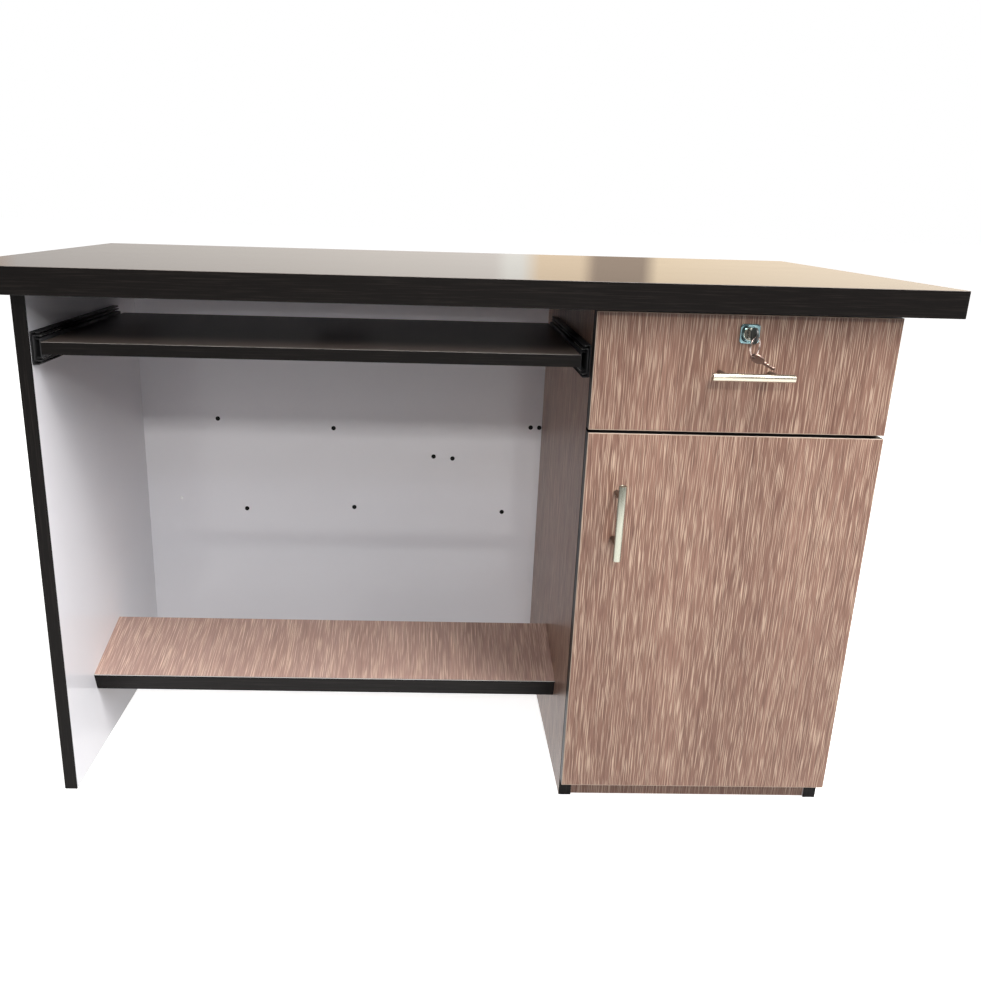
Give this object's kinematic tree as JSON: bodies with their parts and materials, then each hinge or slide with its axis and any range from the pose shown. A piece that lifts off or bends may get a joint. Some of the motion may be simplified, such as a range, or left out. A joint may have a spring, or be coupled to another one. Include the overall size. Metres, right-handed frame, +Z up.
{
  "type": "computer desk",
  "caption": "Straight computer desk with a pull-out keyboard tray, a tilted foot shelf, a modesty panel and a pedestal with a lockable drawer over a hinged door.",
  "frame": {"origin": "on the floor, at the middle of the whole desk's footprint, bar handles included", "axes": "+X to the sitter's right along the desk's length, +Y away from the sitter, +Z up"},
  "size_m": [1.24, 0.6184, 0.75],
  "materials": {
    "wenge_laminate": "dark wenge laminate, fine straight grain, glossy on the top face",
    "raw_board": "dark-faced build-up board under the edges",
    "white_laminate": "glossy white laminate; the face turned away from the user is woodgrain",
    "brown_woodgrain": "pinkish brown woodgrain laminate with short pale pores; white on the inner face",
    "drawer_board": "white laminated drawer board",
    "black_edge_band": "satin black plastic edge band",
    "black_screws": "black phosphate screws",
    "black_slide_steel": "black coated sheet steel",
    "zinc_steel": "zinc or nickel plated steel",
    "brushed_steel": "satin brushed bar handles",
    "chrome": "polished chrome",
    "key_metal": "nickel plated key steel",
    "key_plastic": "moulded black plastic"
  },
  "bodies": {
    "carcass": {"desktop_board": "wenge_laminate", "desktop_build_up": "raw_board", "desktop_cross_battens": "raw_board", "desktop_edge_band": "wenge_laminate", "left_end_panel": "white_laminate", "pedestal_left_panel": "brown_woodgrain", "pedestal_right_panel": "brown_woodgrain", "panel_edge_bands": "black_edge_band", "modesty_panel": "white_laminate", "modesty_fascia": "wenge_laminate", "modesty_screws": "black_screws", "foot_shelf": "brown_woodgrain", "foot_shelf_build_up": "raw_board", "foot_shelf_edge_band": "black_edge_band", "foot_shelf_brackets": "zinc_steel", "plinth_board": "brown_woodgrain", "pedestal_bottom": "white_laminate", "pedestal_back": "white_laminate", "divider_rail": "white_laminate", "cabinet_shelf": "white_laminate", "shelf_pins": "zinc_steel", "desktop_brackets": "zinc_steel", "tray_slide_outer_members": "black_slide_steel", "drawer_slide_outer_members": "black_slide_steel", "slide_fixing_screws": "black_screws", "hinge_arms": "zinc_steel", "hinge_plates": "zinc_steel", "lock_keeper": "zinc_steel"},
    "tray_slide_middle": {"tray_slide_middle_members": "black_slide_steel"},
    "tray": {"tray_slide_inner_members": "black_slide_steel", "tray_slide_screws": "black_screws", "keyboard_tray": "wenge_laminate", "keyboard_tray_edge_band": "black_edge_band"},
    "drawer_slide_middle": {"drawer_slide_middle_members": "black_slide_steel"},
    "drawer": {"drawer_slide_inner_members": "black_slide_steel", "drawer_slide_screws": "black_screws", "drawer_box_bottom": "drawer_board", "drawer_box_front": "drawer_board", "drawer_box_left_side": "drawer_board", "drawer_box_right_side": "drawer_board", "drawer_box_back": "drawer_board", "drawer_front": "brown_woodgrain", "drawer_front_edge_bands": "black_edge_band", "drawer_front_screws": "black_screws", "drawer_handle_bar": "brushed_steel", "drawer_handle_posts": "brushed_steel", "lock_bezel": "chrome", "lock_body": "zinc_steel"},
    "key": {"lock_cylinder": "chrome", "key_blade": "key_metal", "key_bow": "key_plastic"},
    "key_bunch": {"key_ring": "key_metal", "spare_key": "key_metal"},
    "bolt": {"lock_bolt": "zinc_steel"},
    "door": {"door_panel": "brown_woodgrain", "door_edge_bands": "black_edge_band", "door_handle_bar": "brushed_steel", "door_handle_posts": "brushed_steel", "hinge_cups": "zinc_steel", "hinge_pins": "zinc_steel"}
  },
  "joints": [
    {"name": "tray_slide", "type": "slide", "parent": "carcass", "child": "tray", "axis": [0, -1, 0], "range_m": [0, 0.29]},
    {"name": "tray_middle_slide", "type": "slide", "parent": "carcass", "child": "tray_slide_middle", "axis": [0, -1, 0], "range_m": [0, 0.145]},
    {"name": "drawer_slide", "type": "slide", "parent": "carcass", "child": "drawer", "axis": [0, -1, 0], "range_m": [0, 0.44]},
    {"name": "drawer_middle_slide", "type": "slide", "parent": "carcass", "child": "drawer_slide_middle", "axis": [0, -1, 0], "range_m": [0, 0.22]},
    {"name": "door_hinge", "type": "hinge", "parent": "carcass", "child": "door", "pos_m": [0.547, -0.26625, 0.294], "axis": [0, 0, 1], "range_deg": [0, 95]},
    {"name": "key_turn", "type": "hinge", "parent": "drawer", "child": "key", "pos_m": [0.362, -0.27125, 0.6895], "axis": [0, 1, 0], "range_deg": [0, 180]},
    {"name": "lock_bolt_slide", "type": "slide", "parent": "drawer", "child": "bolt", "axis": [0, 0, 1], "range_m": [0, 0.01]},
    {"name": "key_bunch_swing", "type": "hinge", "parent": "key", "child": "key_bunch", "pos_m": [0.362, -0.29555, 0.6895], "axis": [1, 0, 0], "range_deg": [-180, 0]}
  ],
  "couplings": [
    {"joint": "tray_middle_slide", "follows": "tray_slide", "ratio": 0.5},
    {"joint": "drawer_middle_slide", "follows": "drawer_slide", "ratio": 0.5},
    {"joint": "lock_bolt_slide", "follows": "key_turn", "m_per_rad": 0.0031831},
    {"joint": "key_bunch_swing", "follows": "key_turn", "ratio": -1}
  ]
}
